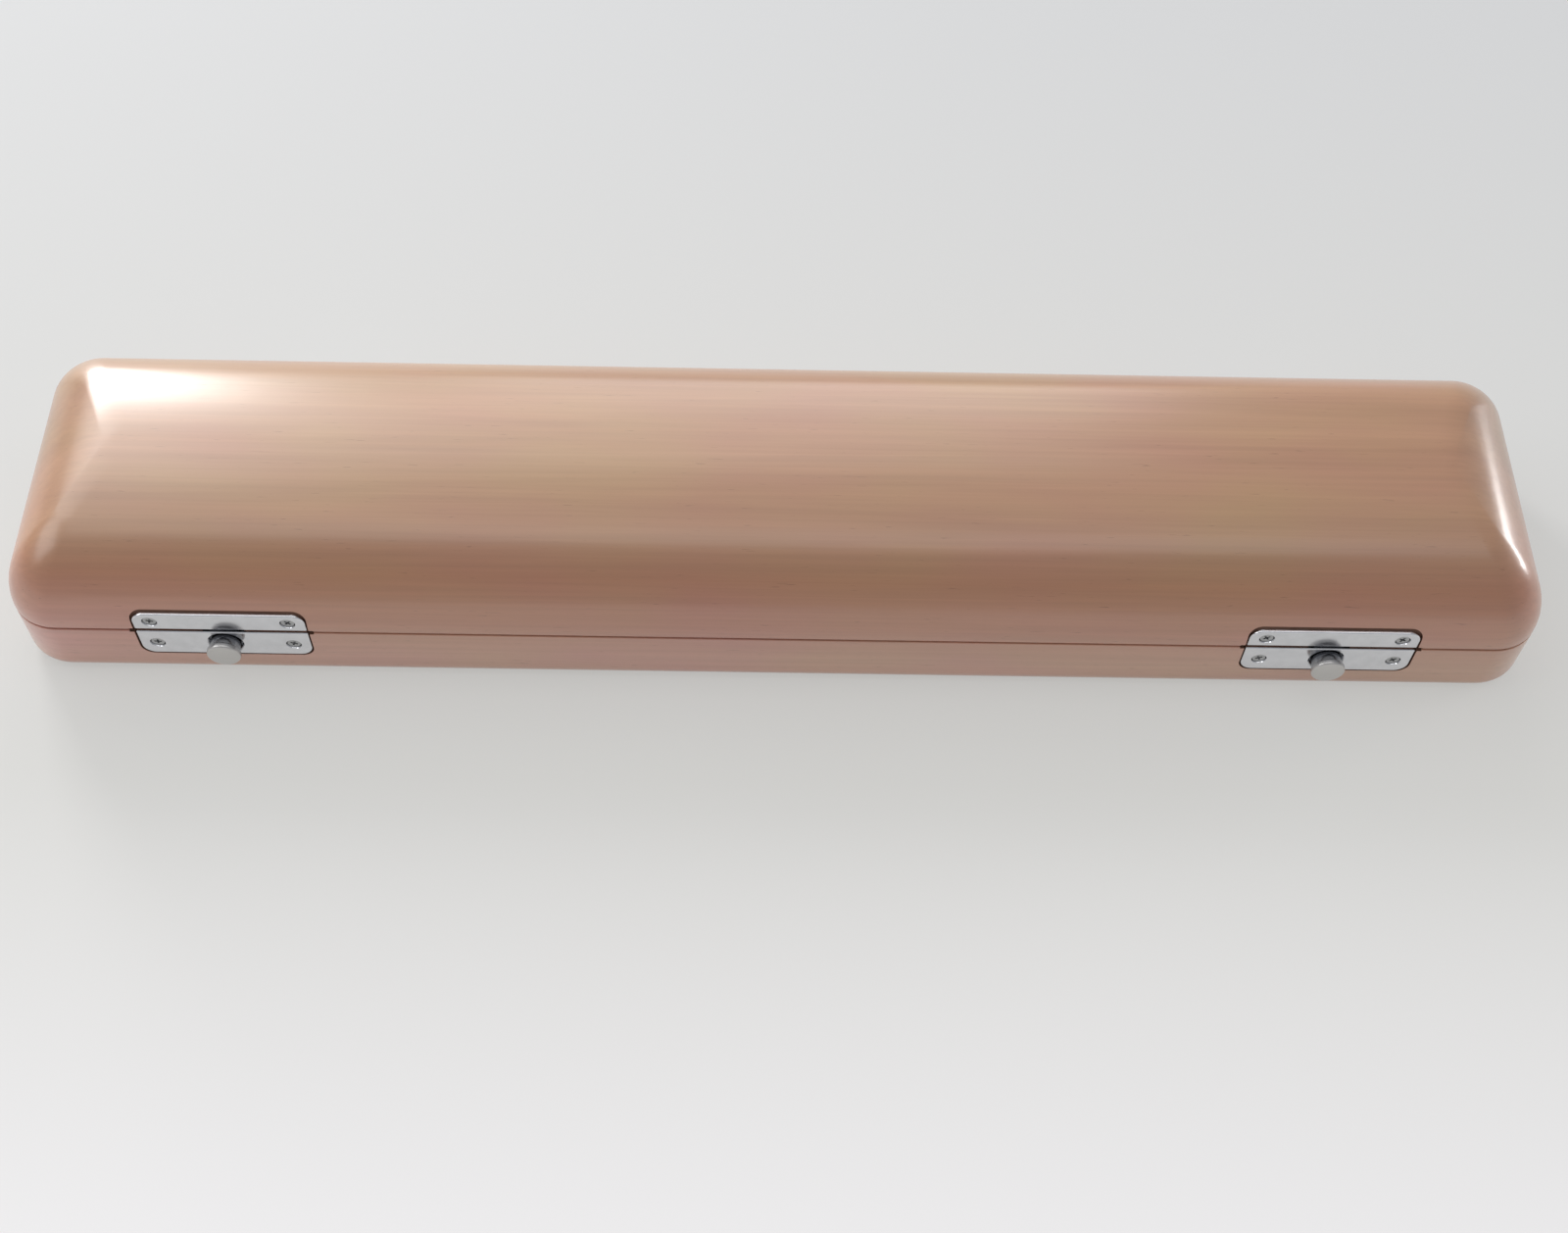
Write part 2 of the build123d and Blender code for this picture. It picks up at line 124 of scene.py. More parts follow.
# ---- how finely round shapes are drawn ----------------------------------------------------------
CORNER_STEPS = 12
LONG_STEPS = 40
SHORT_STEPS = 10
SHOULDER_STEPS = 32
CROWN_STEPS = 12
BOTTOM_STEPS = 6
RIM_STEPS = 3
ROLL_STEPS = 4
KNOB_ROLL_STEPS = 5
DOME_STEPS = 8
LATHE_STEPS = 64
GROOVE_STEPS = 48
SHARP_ANGLE = radians(28.0)
WELD = 1e-7
NODE_WELD = 1e-6

# ---- the camera ---------------------------------------------------------------------------------
FRAME_WIDTH_PX = 1600
SENSOR_WIDTH_MM = 36.0
FOCAL_PX = 2075.8
AIM = Vector((1.47, -36.01, 20.0)) * MM
DISTANCE = 558.3 * MM
PITCH = radians(56.67)
YAW = radians(-1.488)
ROLL = radians(2.117)


def make_camera():
    """The viewpoint: above the front of the case, looking down at it, slightly rolled."""
    back = Vector((sin(YAW) * cos(PITCH), -cos(YAW) * cos(PITCH), sin(PITCH)))
    level = (-back).cross(Vector((0, 0, 1))).normalized()
    upright = level.cross(-back)
    right = cos(ROLL) * level + sin(ROLL) * upright
    up = cos(ROLL) * upright - sin(ROLL) * level
    place = AIM + back * DISTANCE
    data = bpy.data.cameras.new("camera")
    data.sensor_width = SENSOR_WIDTH_MM
    data.lens = SENSOR_WIDTH_MM * FOCAL_PX / FRAME_WIDTH_PX
    camera = bpy.data.objects.new("camera", data)
    camera.matrix_world = Matrix((
        (right.x, up.x, back.x, place.x),
        (right.y, up.y, back.y, place.y),
        (right.z, up.z, back.z, place.z),
        (0, 0, 0, 1),
    ))
    bpy.context.scene.collection.objects.link(camera)
    bpy.context.scene.camera = camera


make_camera()


# ---- small helpers ------------------------------------------------------------------------------
def paint(code):
    """An sRGB hex colour as linear RGBA."""
    channels = []
    for start in (1, 3, 5):
        value = int(code[start:start + 2], 16) / 255
        linear = value / 12.92 if value <= 0.04045 else ((value + 0.055) / 1.055) ** 2.4
        channels.append(linear)
    return (*channels, 1.0)


def add(tree, kind, inputs=None, **settings):
    """Add a node with its settings, its input values and its links."""
    node = tree.nodes.new(kind)
    for name, value in settings.items():
        setattr(node, name, value)
    for socket, value in (inputs or {}).items():
        if isinstance(value, bpy.types.NodeSocket):
            tree.links.new(value, node.inputs[socket])
        else:
            node.inputs[socket].default_value = value
    return node


def new_material(name):
    """An empty material: returns it and its tree."""
    material = bpy.data.materials.new(name)
    material.use_nodes = True
    material.node_tree.nodes.clear()
    return material, material.node_tree


def finish_material(tree, shader):
    """Show a shader on the surface."""
    add(tree, "ShaderNodeOutputMaterial", {"Surface": shader.outputs[0]})


def new_object(name, bm):
    """A bmesh as an object at the origin, its faces pointing outwards."""
    bmesh.ops.recalc_face_normals(bm, faces=bm.faces)
    mesh = bpy.data.meshes.new(name)
    bm.to_mesh(mesh)
    bm.free()
    piece = bpy.data.objects.new(name, mesh)
    bpy.context.scene.collection.objects.link(piece)
    return piece


def settle(piece):
    """Turn a piece's modifiers into its plain mesh."""
    bpy.context.view_layer.update()
    depsgraph = bpy.context.evaluated_depsgraph_get()
    mesh = bpy.data.meshes.new_from_object(piece.evaluated_get(depsgraph))
    piece.modifiers.clear()
    piece.data = mesh


def cut(piece, cutters, lining=None):
    """Take the cutters' shapes out of a piece, line the cuts, and throw the cutters away."""
    for cutter in cutters:
        if lining:
            cutter.data.materials.append(lining)
        modifier = piece.modifiers.new("cut", "BOOLEAN")
        modifier.operation = "DIFFERENCE"
        modifier.solver = "EXACT"
        modifier.material_mode = "TRANSFER"
        modifier.object = cutter
    settle(piece)
    for cutter in cutters:
        bpy.data.objects.remove(cutter)


def smooth(piece):
    """Smooth shading that stops at the edges and isn't pulled by slivers."""
    mesh = piece.data
    mesh.polygons.foreach_set("use_smooth", [True] * len(mesh.polygons))
    mesh.set_sharp_from_angle(angle=SHARP_ANGLE)
    weighted = piece.modifiers.new("weighted", "WEIGHTED_NORMAL")
    weighted.keep_sharp = True
    settle(piece)


def dress(piece, material, body, nodes=()):
    """Give a finished piece its material, its body and the CAD nodes it stands for.

    A piece whose faces already have their materials is given None.
    """
    if material:
        piece.data.materials.clear()
        piece.data.materials.append(material)
    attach(piece, body)
    if nodes:
        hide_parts(*nodes)


# ---- materials ----------------------------------------------------------------------------------
# Sizes of the patterns in millimetres, along X, Y and Z. Grain and brushing run along the case.
# Pile and brush lines are drawn a few times wider than real ones, which are too fine to show.
STREAKS = (90.0, 1.6, 1.6)
PORES = (6.0, 0.5, 0.5)
BANDS = (220.0, 12.0, 14.0)
PATCHES = (70.0, 30.0, 30.0)
FIBRES = (8.0, 0.8, 0.8)
BRUSHING = (20.0, 0.2, 0.2)
TARNISH = (4.0, 4.0, 4.0)
MOTTLE = (3.0, 3.0, 3.0)
NAP = (20.0, 12.0, 12.0)
PILE = (0.6, 0.6, 0.6)
STREAK_RELIEF = 0.05 * MM
PILE_RELIEF = 0.2 * MM

# The front of the case is pinker, with painted light and shade: it has three tones, from the first
# height through the middle to the second, lightest low down as painted bounce light from the table
# and darkest brown high up as the painted shade of the shoulder. It fades into the plain wood from
# there to the third, and from front to back in Y.
FRONT_PAINTED_SHADING_LOW = 10.0 * MM
FRONT_PAINTED_SHADING_HIGH = 38.0 * MM
FRONT_PAINTED_SHADING_END = 46.0 * MM
FRONT_PAINTED_SHADING_FULL_Y = -25.0 * MM
FRONT_PAINTED_SHADING_END_Y = 10.0 * MM


def scale_for(pattern):
    """The mapping scale at which one unit of a pattern measures this many millimetres."""
    return tuple(1 / (size * MM) for size in pattern)


def make_wood():
    """Pale straight-grained hardwood under a satin-gloss lacquer.

    To the eye: fine streaks along the case, short dark pores, broad pinkish and yellowish bands,
    and a clear film whose soft reflections lie over the grain. Light and shade are painted down the
    front.
    """
    material, tree = new_material("lacquered_wood")
    place = add(tree, "ShaderNodeTexCoord").outputs["Object"]
    streak_at = add(tree, "ShaderNodeMapping", {"Vector": place, "Scale": scale_for(STREAKS)})
    streaks = add(tree, "ShaderNodeTexNoise", {
        "Vector": streak_at.outputs[0], "Scale": 1.0, "Detail": 5.0, "Roughness": 0.6,
        "Distortion": 0.4})
    pore_at = add(tree, "ShaderNodeMapping", {"Vector": place, "Scale": scale_for(PORES)})
    pores = add(tree, "ShaderNodeTexNoise", {
        "Vector": pore_at.outputs[0], "Scale": 1.0, "Detail": 2.0, "Roughness": 0.5,
        "Distortion": 0.2})
    band_at = add(tree, "ShaderNodeMapping", {"Vector": place, "Scale": scale_for(BANDS)})
    bands = add(tree, "ShaderNodeTexNoise", {
        "Vector": band_at.outputs[0], "Scale": 1.0, "Detail": 3.0, "Roughness": 0.55,
        "Distortion": 0.6})
    patch_at = add(tree, "ShaderNodeMapping", {"Vector": place, "Scale": scale_for(PATCHES)})
    patches = add(tree, "ShaderNodeTexNoise", {
        "Vector": patch_at.outputs[0], "Scale": 1.0, "Detail": 2.0, "Roughness": 0.5})

    plain = add(tree, "ShaderNodeValToRGB", {"Fac": bands.outputs["Fac"]})
    plain.color_ramp.elements[0].position = 0.3
    plain.color_ramp.elements[0].color = paint("#9b785f")
    plain.color_ramp.elements[1].position = 0.7
    plain.color_ramp.elements[1].color = paint("#a9866b")
    where = add(tree, "ShaderNodeSeparateXYZ", {"Vector": place}).outputs
    # Painted light and shade on the front: lightest low down for the table's bounce, darkest brown
    # on the shoulder for its shade.
    rise = add(tree, "ShaderNodeMapRange", {
        "Value": where["Z"], "From Min": FRONT_PAINTED_SHADING_LOW, "From Max": FRONT_PAINTED_SHADING_HIGH})
    front_painted_shading = add(tree, "ShaderNodeValToRGB", {"Fac": rise.outputs[0]})
    front_painted_shading.color_ramp.elements[0].color = paint("#d0a79b")
    front_painted_shading.color_ramp.elements[1].color = paint("#ae7e65")
    front_painted_shading.color_ramp.elements.new(0.5).color = paint("#c39287")
    lowness = add(tree, "ShaderNodeMapRange", {
        "Value": where["Z"], "From Min": FRONT_PAINTED_SHADING_END, "From Max": FRONT_PAINTED_SHADING_HIGH})
    frontness = add(tree, "ShaderNodeMapRange", {
        "Value": where["Y"], "From Min": FRONT_PAINTED_SHADING_END_Y, "From Max": FRONT_PAINTED_SHADING_FULL_Y})
    painted_shading_share = add(tree, "ShaderNodeMath", {
        0: lowness.outputs[0], 1: frontness.outputs[0]}, operation="MULTIPLY")
    based = add(tree, "ShaderNodeMix", {
        0: painted_shading_share.outputs[0], 6: plain.outputs["Color"], 7: front_painted_shading.outputs["Color"]},
        data_type="RGBA")

    warmth = add(tree, "ShaderNodeMapRange", {
        "Value": patches.outputs["Fac"], "From Min": 0.28, "From Max": 0.6})
    tint = add(tree, "ShaderNodeMix", {
        0: warmth.outputs[0], 6: paint("#ffece8"), 7: paint("#fefae3")}, data_type="RGBA")
    toned = add(tree, "ShaderNodeMix", {
        0: 1.0, 6: based.outputs[2], 7: tint.outputs[2]}, data_type="RGBA", blend_type="MULTIPLY")
    streak_tone = add(tree, "ShaderNodeMapRange", {
        "Value": streaks.outputs["Fac"], "From Min": 0.3, "From Max": 0.7,
        "To Min": 0.93, "To Max": 1.05})
    streaked = add(tree, "ShaderNodeVectorMath", {
        0: toned.outputs[2], 1: streak_tone.outputs[0]}, operation="MULTIPLY")
    pore_tone = add(tree, "ShaderNodeMapRange", {
        "Value": pores.outputs["Fac"], "From Min": 0.69, "From Max": 0.77,
        "To Min": 1.0, "To Max": 0.72})
    pored = add(tree, "ShaderNodeVectorMath", {
        0: streaked.outputs[0], 1: pore_tone.outputs[0]}, operation="MULTIPLY")
    relief = add(tree, "ShaderNodeBump", {
        "Height": streaks.outputs["Fac"], "Strength": 0.1, "Distance": STREAK_RELIEF})
    # The film is a dense, thick lacquer: it mirrors a little more than plain varnish does.
    shader = add(tree, "ShaderNodeBsdfPrincipled", {
        "Base Color": pored.outputs[0], "Roughness": 0.45, "Normal": relief.outputs[0],
        "IOR": 1.5, "Coat Weight": 1.0, "Coat Roughness": 0.24, "Coat IOR": 1.6})
    finish_material(tree, shader)
    return material


def make_painted_shade_cut_wood():
    """The same wood where it was cut after lacquering: bare and matt, painted dark brown as the
    shade inside the pockets and grooves.
    """
    material, tree = new_material("bare_cut_wood_painted_shade")
    place = add(tree, "ShaderNodeTexCoord").outputs["Object"]
    fibre_at = add(tree, "ShaderNodeMapping", {"Vector": place, "Scale": scale_for(FIBRES)})
    fibres = add(tree, "ShaderNodeTexNoise", {
        "Vector": fibre_at.outputs[0], "Scale": 1.0, "Detail": 3.0})
    # Painted shade: dark browns, so that the cut pockets read dark.
    colour = add(tree, "ShaderNodeValToRGB", {"Fac": fibres.outputs["Fac"]})
    colour.color_ramp.elements[0].color = paint("#5a3a2c")
    colour.color_ramp.elements[1].color = paint("#805c49")
    shader = add(tree, "ShaderNodeBsdfPrincipled", {
        "Base Color": colour.outputs["Color"], "Roughness": 0.8, "IOR": 1.5})
    finish_material(tree, shader)
    return material


def make_nickel(name, tone, roughness, brushed):
    """Nickel plate on stamped or turned metal: cool grey, with faint lines along X if brushed."""
    material, tree = new_material(name)
    place = add(tree, "ShaderNodeTexCoord").outputs["Object"]
    line_at = add(tree, "ShaderNodeMapping", {"Vector": place, "Scale": scale_for(BRUSHING)})
    lines = add(tree, "ShaderNodeTexNoise", {
        "Vector": line_at.outputs[0], "Scale": 1.0, "Detail": 2.0})
    cloud_at = add(tree, "ShaderNodeMapping", {"Vector": place, "Scale": scale_for(TARNISH)})
    clouds = add(tree, "ShaderNodeTexNoise", {
        "Vector": cloud_at.outputs[0], "Scale": 1.0, "Detail": 4.0})
    tarnish = add(tree, "ShaderNodeMapRange", {
        "Value": clouds.outputs["Fac"], "From Min": 0.3, "From Max": 0.7,
        "To Min": 0.94, "To Max": 1.03})
    colour = add(tree, "ShaderNodeVectorMath", {
        0: paint(tone)[:3], 1: tarnish.outputs[0]}, operation="MULTIPLY")
    rough = add(tree, "ShaderNodeMapRange", {
        "Value": lines.outputs["Fac"], "From Min": 0.3, "From Max": 0.7,
        "To Min": roughness - brushed, "To Max": roughness + brushed})
    shader = add(tree, "ShaderNodeBsdfPrincipled", {
        "Base Color": colour.outputs[0], "Metallic": 1.0, "Roughness": rough.outputs[0]})
    finish_material(tree, shader)
    return material


def make_knob_nickel():
    """Turned nickel knob: its satin end is light; its polished side is painted darker towards the
    plate, as shade and a dark reflection.
    """
    material, tree = new_material("turned_nickel_painted_shade")
    place = add(tree, "ShaderNodeTexCoord").outputs["Object"]
    depth = add(tree, "ShaderNodeSeparateXYZ", {"Vector": place}).outputs["Y"]
    outward = add(tree, "ShaderNodeMapRange", {
        "Value": depth, "From Min": -HALF_WIDTH - KNOB_PAINTED_SHADE_END,
        "From Max": -HALF_WIDTH - KNOB_UNSHADED_START})
    # Painted shade and reflection: dark grey by the plate, light grey out at the head.
    tone = add(tree, "ShaderNodeMix", {
        0: outward.outputs[0], 6: paint("#818388"), 7: paint("#cbc9c7")}, data_type="RGBA")
    shine = add(tree, "ShaderNodeMapRange", {
        "Value": outward.outputs[0], "To Min": 0.2, "To Max": 0.36})
    shader = add(tree, "ShaderNodeBsdfPrincipled", {
        "Base Color": tone.outputs[2], "Metallic": 1.0, "Roughness": shine.outputs[0]})
    finish_material(tree, shader)
    return material


def make_spring_steel():
    """Hardened strip with a heat-blued skin: dark blue-grey, smooth and half glossy."""
    material, tree = new_material("blued_spring_steel")
    place = add(tree, "ShaderNodeTexCoord").outputs["Object"]
    mottle_at = add(tree, "ShaderNodeMapping", {"Vector": place, "Scale": scale_for(MOTTLE)})
    mottle = add(tree, "ShaderNodeTexNoise", {
        "Vector": mottle_at.outputs[0], "Scale": 1.0, "Detail": 3.0})
    colour = add(tree, "ShaderNodeValToRGB", {"Fac": mottle.outputs["Fac"]})
    colour.color_ramp.elements[0].color = paint("#3f4658")
    colour.color_ramp.elements[1].color = paint("#6a7080")
    shader = add(tree, "ShaderNodeBsdfPrincipled", {
        "Base Color": colour.outputs["Color"], "Metallic": 1.0, "Roughness": 0.32})
    finish_material(tree, shader)
    return material


def make_velvet():
    """Short-pile cotton velvet: deep wine red that lightens where the pile is seen edge-on."""
    material, tree = new_material("wine_velvet")
    place = add(tree, "ShaderNodeTexCoord").outputs["Object"]
    pile_at = add(tree, "ShaderNodeMapping", {"Vector": place, "Scale": scale_for(PILE)})
    pile = add(tree, "ShaderNodeTexNoise", {
        "Vector": pile_at.outputs[0], "Scale": 1.0, "Detail": 3.0})
    nap_at = add(tree, "ShaderNodeMapping", {"Vector": place, "Scale": scale_for(NAP)})
    nap = add(tree, "ShaderNodeTexNoise", {
        "Vector": nap_at.outputs[0], "Scale": 1.0, "Detail": 3.0, "Distortion": 0.8})
    colour = add(tree, "ShaderNodeValToRGB", {"Fac": nap.outputs["Fac"]})
    colour.color_ramp.elements[0].position = 0.35
    colour.color_ramp.elements[0].color = paint("#3b0a14")
    colour.color_ramp.elements[1].position = 0.68
    colour.color_ramp.elements[1].color = paint("#5e1422")
    relief = add(tree, "ShaderNodeBump", {
        "Height": pile.outputs["Fac"], "Strength": 0.5, "Distance": PILE_RELIEF})
    shader = add(tree, "ShaderNodeBsdfPrincipled", {
        "Base Color": colour.outputs["Color"], "Roughness": 0.95, "Normal": relief.outputs[0],
        "Specular IOR Level": 0.2, "Sheen Weight": 0.6, "Sheen Roughness": 0.35,
        "Sheen Tint": paint("#c98a94")})
    finish_material(tree, shader)
    return material


wood = make_wood()
# The lining of the cuts, painted dark as their shade.
painted_shade_cut_wood = make_painted_shade_cut_wood()
# Nickel by its finish: satin hinge leaves, polished plates and pins, dulled bolts, plain screws.
satin_nickel = make_nickel("satin_nickel", "#dedfe0", 0.36, 0.05)
plate_nickel = make_nickel("polished_plate_nickel", "#e2e3e7", 0.15, 0.02)
polished_nickel = make_nickel("polished_nickel", "#bdbcba", 0.16, 0.02)
dulled_nickel = make_nickel("dulled_nickel", "#85888e", 0.42, 0.04)
knob_nickel_painted_shade = make_knob_nickel()
screw_steel = make_nickel("plated_screw_steel", "#b6b7b8", 0.38, 0.04)
spring_steel = make_spring_steel()
velvet = make_velvet()


# ---- wooden shells ------------------------------------------------------------------------------
def ring(half_x, half_y, corner, z):
    """One level of the case: a rounded rectangle with the same number of points at any size."""
    points = []
    for quarter in range(4):
        along_x = 1 if quarter in (0, 3) else -1
        along_y = 1 if quarter in (0, 1) else -1
        centre = Vector((along_x * (half_x - corner), along_y * (half_y - corner), z))
        for step in range(CORNER_STEPS + 1):
            turn = pi / 2 * (quarter + step / CORNER_STEPS)
            points.append(centre + corner * Vector((cos(turn), sin(turn), 0)))
        start = points[-1]
        if quarter in (0, 2):
            steps, end = LONG_STEPS, Vector((-start.x, start.y, z))
        else:
            steps, end = SHORT_STEPS, Vector((start.x, -start.y, z))
        for step in range(1, steps):
            points.append(start.lerp(end, step / steps))
    return points


def upright_ring(inset, z):
    """A level of the upright walls, moved inwards by inset."""
    return ring(HALF_LENGTH - inset, HALF_WIDTH - inset, CORNER_RADIUS - inset, z)


def pillow_rings(depth):
    """The lid's form moved inwards by depth, as rings from the spring line up to the crown.

    Across the case it is a three-centred arch; along it each end is a quarter ellipse.
    """
    radius = SHOULDER_RADIUS - depth
    half_width = HALF_WIDTH - depth
    crown_inset = radius * (1 - cos(SHOULDER_SWEEP))
    crown_radius = (half_width - crown_inset) / cos(SHOULDER_SWEEP)
    crown_start = radius * sin(SHOULDER_SWEEP)
    arch = []
    for step in range(SHOULDER_STEPS + 1):
        turn = SHOULDER_SWEEP * step / SHOULDER_STEPS
        arch.append((radius * (1 - cos(turn)), radius * sin(turn)))
    crown_run = half_width - crown_inset - CROWN_STRIP / 2
    for step in range(1, CROWN_STEPS + 1):
        inset = crown_inset + crown_run * step / CROWN_STEPS
        turn = acos((half_width - inset) / crown_radius)
        arch.append((inset, crown_start + crown_radius * (sin(turn) - sin(SHOULDER_SWEEP))))
    top = arch[-1][1]
    rings = []
    for inset, rise in arch:
        end_inset = (END_RUN - depth) * (1 - sqrt(1 - (rise / top) ** 2))
        fading = (CORNER_RADIUS - depth) * (1 - inset / half_width) ** CORNER_FADING
        corner = max(fading, min(SOFT_CORNER, SOFT_CORNER_SHARE * (half_width - inset)))
        half_length = HALF_LENGTH - depth - end_inset
        z = LID_BOTTOM + LID_UPRIGHT + rise
        rings.append(ring(half_length, half_width - inset, corner, z))
    return rings


def join_rows(bm, rows):
    """Faces between rows of vertices that each run once round a shape."""
    for near, far in zip(rows, rows[1:]):
        count = len(near)
        for index in range(count):
            after = (index + 1) % count
            bm.faces.new((near[index], near[after], far[after], far[index]))


def skin(rings):
    """A closed solid from rings, with a cap over the first and the last."""
    bm = bmesh.new()
    rows = [[bm.verts.new(point) for point in points] for points in rings]
    join_rows(bm, rows)
    bm.faces.new(list(reversed(rows[0])))
    bm.faces.new(rows[-1])
    return bm


def box_solid(name, low, high):
    """An upright box between two corners."""
    bm = bmesh.new()
    bmesh.ops.create_cube(bm, size=1.0)
    middle = (Vector(low) + Vector(high)) / 2
    size = Vector(high) - Vector(low)
    bmesh.ops.scale(bm, vec=size, verts=bm.verts)
    bmesh.ops.translate(bm, vec=middle, verts=bm.verts)
    return new_object(name, bm)


def tab_outline(x_low, x_high, z_low, z_high, radii):
    """The points of an upright rectangle with rounded corners.

    The radii are those of the low left, low right, top right and top left corners.
    """
    corners = ((x_low, z_low, 1, 1), (x_high, z_low, -1, 1),
               (x_high, z_high, -1, -1), (x_low, z_high, 1, -1))
    starts = (pi, 1.5 * pi, 0.0, 0.5 * pi)
    points = []
    for (x, z, in_x, in_z), radius, start in zip(corners, radii, starts):
        for step in range(CORNER_STEPS + 1):
            turn = start + pi / 2 * step / CORNER_STEPS
            points.append((x + in_x * radius + radius * cos(turn),
                           z + in_z * radius + radius * sin(turn)))
    return points


def tab_solid(name, sections):
    """A solid along Y from sections, each a Y place and the outline there, of as many points."""
    bm = bmesh.new()
    rows = [[bm.verts.new((x, y, z)) for x, z in outline] for y, outline in sections]
    join_rows(bm, rows)
    bm.faces.new(rows[0])
    bm.faces.new(rows[-1])
    bmesh.ops.remove_doubles(bm, verts=bm.verts, dist=WELD)
    return new_object(name, bm)


def latch_seat(node, foot_gap, head_gap, low_round, high_round):
    """The pocket a latch plate lies in, from the plate's own box."""
    low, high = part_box(node)
    radii = (low_round, low_round, high_round, high_round)
    outline = tab_outline(low.x - POCKET_GAP, high.x + POCKET_GAP,
                          low.z - foot_gap, high.z + head_gap, radii)
    return tab_solid("seat", [(low.y - WALL, outline), (high.y, outline)])


def latch_works(node, width, z_low, z_high):
    """The deeper pocket behind a plate, for the bolt and its spring."""
    low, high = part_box(node)
    middle = (low.x + high.x) / 2
    return box_solid("works", (middle - width / 2, high.y - CUTTER_REACH, z_low),
                     (middle + width / 2, high.y + WORKS_DEPTH, z_high))


def seam_nicks(node):
    """Small nicks at both ends of a plate, where the seam's worn edges run into the pocket."""
    low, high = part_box(node)
    nicks = []
    for x_low, x_high in ((low.x - NICK_LENGTH, low.x), (high.x, high.x + NICK_LENGTH)):
        nicks.append(box_solid(
            "nick", (x_low, -HALF_WIDTH - CUTTER_REACH, SEAM - NICK_HEIGHT / 2),
            (x_high, high.y, SEAM + NICK_HEIGHT / 2)))
    return nicks


def hinge_seat(node, z_low, z_high, low_round, high_round):
    """The pocket for one leaf of a hinge."""
    low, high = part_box(node)
    radii = (low_round, low_round, high_round, high_round)
    outline = tab_outline(low.x - LEAF_GAP, high.x + LEAF_GAP, z_low, z_high, radii)
    return tab_solid("hinge_seat", [(LEAF_BACK, outline), (HALF_WIDTH + WALL, outline)])


def barrel_groove(node):
    """The half-round groove along the seam for a hinge's knuckles, round its pin."""
    low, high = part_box(node)
    radius = KNUCKLE_RADIUS + BARREL_CLEARANCE
    bm = bmesh.new()
    bmesh.ops.create_cone(
        bm, cap_ends=True, segments=GROOVE_STEPS, radius1=radius, radius2=radius,
        depth=high.x - low.x + 2 * BARREL_CLEARANCE)
    turned = Matrix.Rotation(pi / 2, 3, "Y")
    bmesh.ops.rotate(bm, cent=(0, 0, 0), matrix=turned, verts=bm.verts)
    bmesh.ops.translate(bm, vec=(low + high) / 2, verts=bm.verts)
    return new_object("groove", bm)


def make_base():
    """The lower shell: a rounded bottom edge, a plain wall, and its half of the shadow line."""
    groove_bottom = BASE_HEIGHT - SEAM_GROOVE_HEIGHT
    rings = []
    for step in range(BOTTOM_STEPS + 1):
        turn = pi / 2 * step / BOTTOM_STEPS
        rings.append(upright_ring(BOTTOM_RADIUS * (1 - sin(turn)), BOTTOM_RADIUS * (1 - cos(turn))))
    for step in range(RIM_STEPS + 1):
        turn = pi / 2 * step / RIM_STEPS
        rings.append(upright_ring(
            RIM_BREAK * (1 - cos(turn)), groove_bottom - RIM_BREAK * (1 - sin(turn))))
    rings.append(upright_ring(SEAM_GROOVE_DEPTH, groove_bottom))
    rings.append(upright_ring(SEAM_GROOVE_DEPTH, BASE_HEIGHT))
    rings.append(upright_ring(WALL, BASE_HEIGHT))
    rings.append(upright_ring(WALL, FLOOR))
    piece = new_object("wooden_base", skin(rings))
    piece.data.materials.append(wood)
    cutters = []
    for side in SIDES:
        plate = side + "_latch_base_plate"
        plate_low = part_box(plate)[0]
        cutters.append(latch_seat(plate, POCKET_FOOT_GAP, CUTTER_REACH, PLATE_CORNER, 0))
        cutters.append(latch_works(
            plate, WORKS_WIDTH, plate_low.z + WORKS_FOOT, BASE_HEIGHT + CUTTER_REACH))
        cutters += seam_nicks(plate)
        leaf = side + "_hinge_base_leaf"
        leaf_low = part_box(leaf)[0]
        cutters.append(hinge_seat(leaf, leaf_low.z, SEAM + CUTTER_REACH, LEAF_CORNER, 0))
        cutters.append(barrel_groove(side + "_hinge_pin"))
    cut(piece, cutters, painted_shade_cut_wood)
    smooth(piece)
    dress(piece, None, "base", ["base_shell"])


def make_lid():
    """The upper shell: its half of the shadow line, and the pillow form outside and inside."""
    groove_top = LID_BOTTOM + SEAM_GROOVE_HEIGHT
    rings = [upright_ring(SEAM_GROOVE_DEPTH, LID_BOTTOM),
             upright_ring(SEAM_GROOVE_DEPTH, groove_top)]
    for step in range(RIM_STEPS + 1):
        turn = pi / 2 * step / RIM_STEPS
        rings.append(upright_ring(
            RIM_BREAK * (1 - sin(turn)), groove_top + RIM_BREAK * (1 - cos(turn))))
    rings += pillow_rings(0)
    inner = [upright_ring(WALL, LID_BOTTOM)] + pillow_rings(WALL)
    piece = new_object("wooden_lid", skin(list(reversed(inner)) + rings))
    piece.data.materials.append(wood)
    cutters = []
    for side in SIDES:
        plate = side + "_latch_lid_plate"
        plate_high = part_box(plate)[1]
        cutters.append(latch_seat(plate, CUTTER_REACH, POCKET_HEAD_GAP, 0, PLATE_CORNER))
        cutters += seam_nicks(plate)
        cutters.append(latch_works(
            plate, TONGUE_SPACE, LID_BOTTOM - CUTTER_REACH, plate_high.z - TONGUE_HEADROOM))
        leaf = side + "_hinge_lid_leaf"
        leaf_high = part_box(leaf)[1]
        cutters.append(hinge_seat(leaf, SEAM - CUTTER_REACH, leaf_high.z, 0, LEAF_CORNER))
        cutters.append(barrel_groove(side + "_hinge_pin"))
    cut(piece, cutters, painted_shade_cut_wood)
    smooth(piece)
    dress(piece, None, "lid", ["lid_shell"])


make_base()
make_lid()


